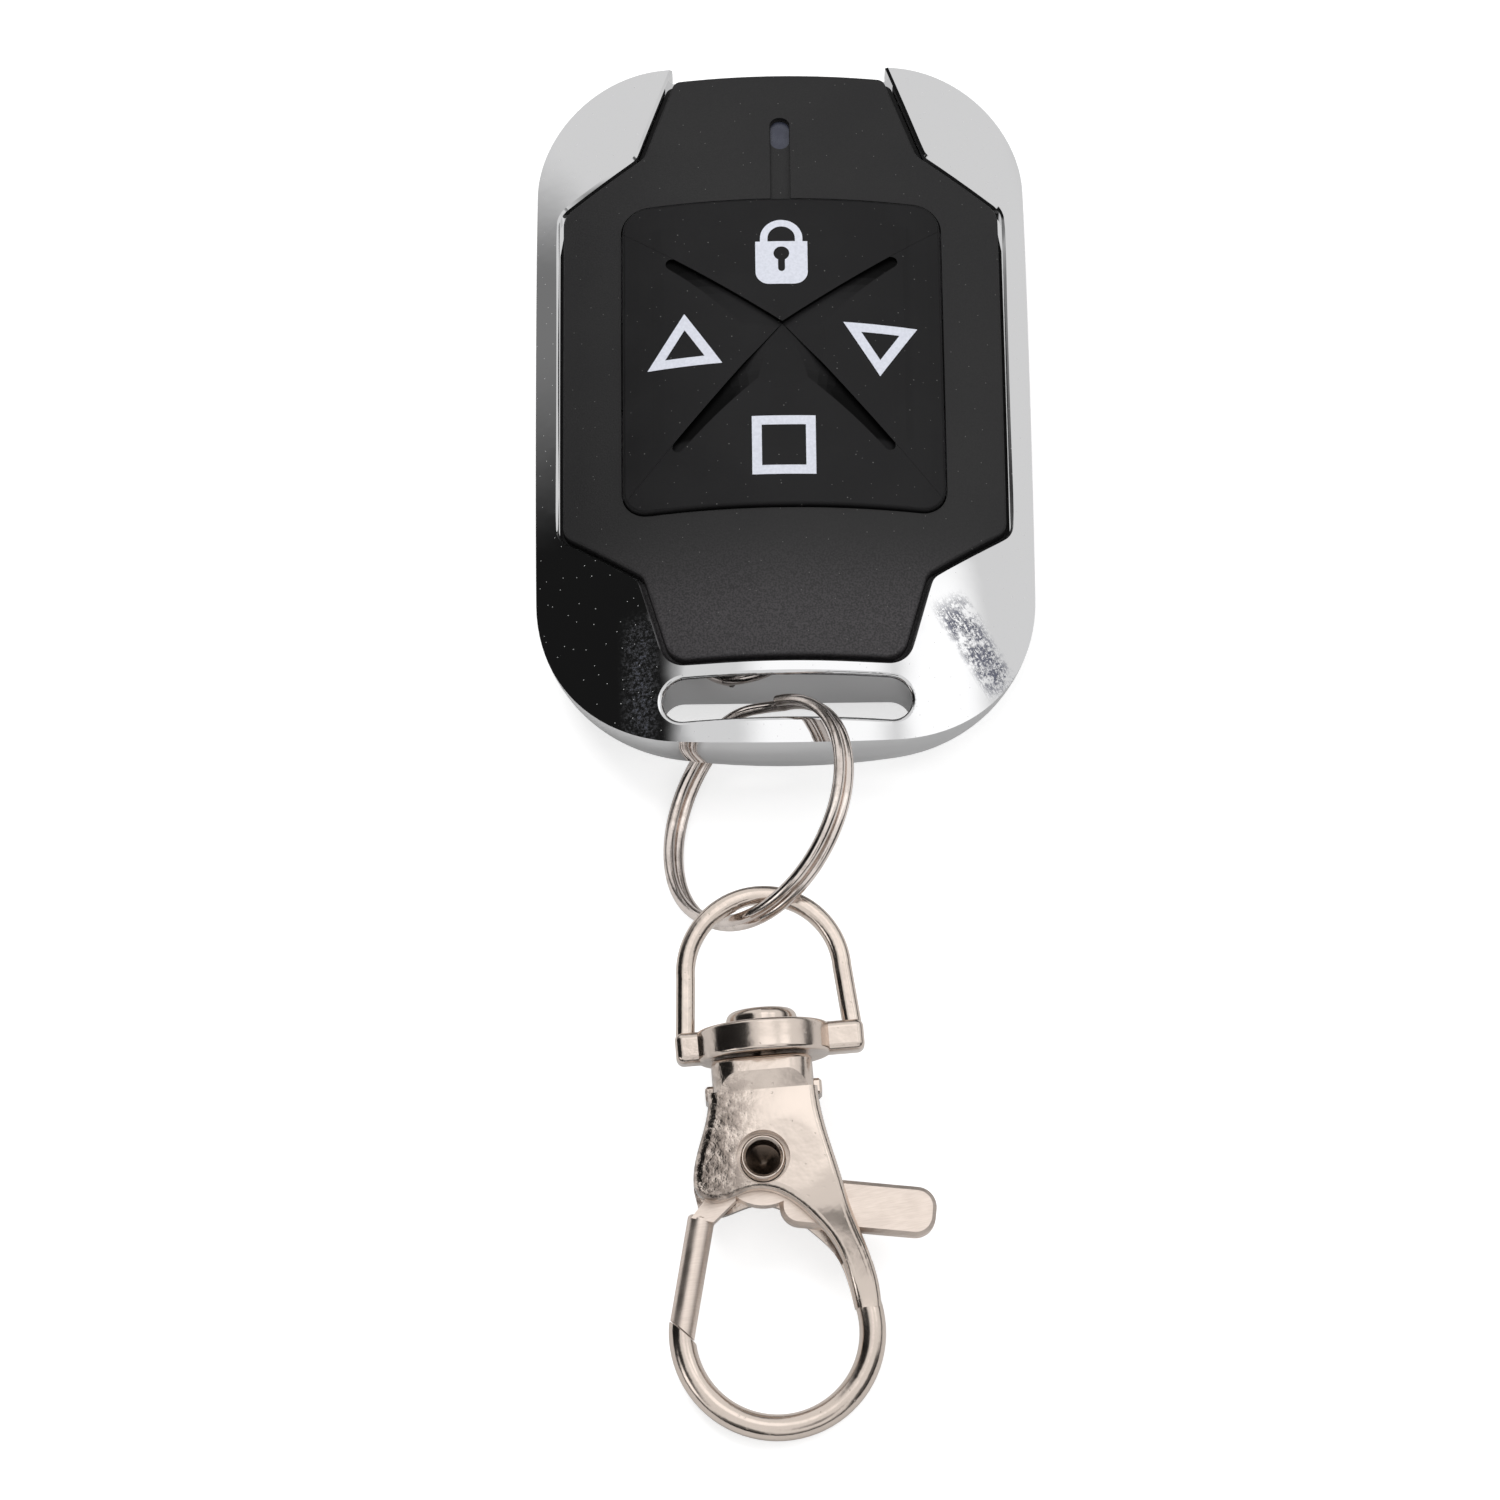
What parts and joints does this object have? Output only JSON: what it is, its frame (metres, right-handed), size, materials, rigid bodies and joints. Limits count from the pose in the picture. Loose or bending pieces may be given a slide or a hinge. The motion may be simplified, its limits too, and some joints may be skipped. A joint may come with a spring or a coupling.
{
  "type": "remote key fob",
  "caption": "Handheld radio remote with a plated frame, crowned black covers, a key pad split by a cross, a split ring and a swivel trigger clasp.",
  "frame": {"origin": "centre of the flat back face of the fob", "axes": "+Z out of the fob's front face, +Y along the fob towards its lamp end, away from ring and clasp"},
  "size_m": [0.0408, 0.1179, 0.016],
  "materials": {
    "plated_zinc": "bright plated zinc",
    "soft_black": "soft-touch black",
    "key_black": "matt black rubber",
    "silicone": "grey silicone",
    "board_green": "solder mask",
    "copper_strip": "tinned copper",
    "chip_black": "moulded",
    "can_steel": "satin",
    "lamp_white": "clear resin",
    "lens_smoke": "smoked lens",
    "cell_steel": "satin",
    "contact_steel": "plated",
    "screw_steel": "zinc plated",
    "ring_nickel": "bright nickel",
    "cast_nickel": "nickel plated casting",
    "rivet_nickel": "bright nickel",
    "lever_nickel": "satin nickel",
    "spring_steel": "spring wire",
    "switch_grey": "moulded",
    "plunger_black": "moulded"
  },
  "bodies": {
    "fob": {"chrome_frame": "plated_zinc", "front_cover": "soft_black", "rear_cover": "soft_black", "indicator_lens": "lens_smoke", "housing_screws": "screw_steel", "keypad_mat": "silicone", "circuit_board": "board_green", "antenna_strip": "copper_strip", "processor": "chip_black", "resonator": "can_steel", "board_chips": "chip_black", "indicator_lamp": "lamp_white", "battery_cell": "cell_steel", "cap_contact": "contact_steel", "side_contact": "contact_steel", "switch_lock": "switch_grey", "switch_up": "switch_grey", "switch_down": "switch_grey", "switch_stop": "switch_grey"},
    "lock_key": {"key_lock": "key_black", "plunger_lock": "plunger_black"},
    "up_key": {"key_up": "key_black", "plunger_up": "plunger_black"},
    "down_key": {"key_down": "key_black", "plunger_down": "plunger_black"},
    "stop_key": {"key_stop": "key_black", "plunger_stop": "plunger_black"},
    "ring": {"split_ring": "ring_nickel"},
    "bail": {"swivel_bail": "cast_nickel"},
    "clasp": {"clasp_body": "cast_nickel", "swivel_rivet": "rivet_nickel", "trigger_rivet": "rivet_nickel", "trigger_spring": "spring_steel"},
    "trigger": {"trigger": "lever_nickel"}
  },
  "joints": [
    {"name": "lock_press", "type": "slide", "parent": "fob", "child": "lock_key", "axis": [0, 0, -1], "range_m": [0, 0.00035], "stiffness_N_per_m": 500, "springref_m": -0.0004},
    {"name": "up_press", "type": "slide", "parent": "fob", "child": "up_key", "axis": [0, 0, -1], "range_m": [0, 0.00035], "stiffness_N_per_m": 500, "springref_m": -0.0004},
    {"name": "down_press", "type": "slide", "parent": "fob", "child": "down_key", "axis": [0, 0, -1], "range_m": [0, 0.00035], "stiffness_N_per_m": 500, "springref_m": -0.0004},
    {"name": "stop_press", "type": "slide", "parent": "fob", "child": "stop_key", "axis": [0, 0, -1], "range_m": [0, 0.00035], "stiffness_N_per_m": 500, "springref_m": -0.0004},
    {"name": "ring_swing", "type": "hinge", "parent": "fob", "child": "ring", "pos_m": [-0.0026, -0.0282, 0.0066], "axis": [0.6947, 0, 0.7193], "range_deg": [-25, 60]},
    {"name": "bail_swing", "type": "hinge", "parent": "ring", "child": "bail", "pos_m": [-0.0026, -0.0468, 0.0097], "axis": [0.6947, 0, 0.7193], "range_deg": [-45, 45]},
    {"name": "clasp_swivel", "type": "hinge", "parent": "bail", "child": "clasp", "pos_m": [-0.00217, -0.05797, 0.00703], "axis": [-0.0715, 0.9762, 0.2045], "continuous": true},
    {"name": "trigger_pull", "type": "hinge", "parent": "clasp", "child": "trigger", "pos_m": [-0.00238, -0.06593, 0.00536], "axis": [0, -0.2051, 0.9787], "range_deg": [0, 28], "stiffness_Nm_per_rad": 0.05, "springref_deg": -28.65}
  ]
}
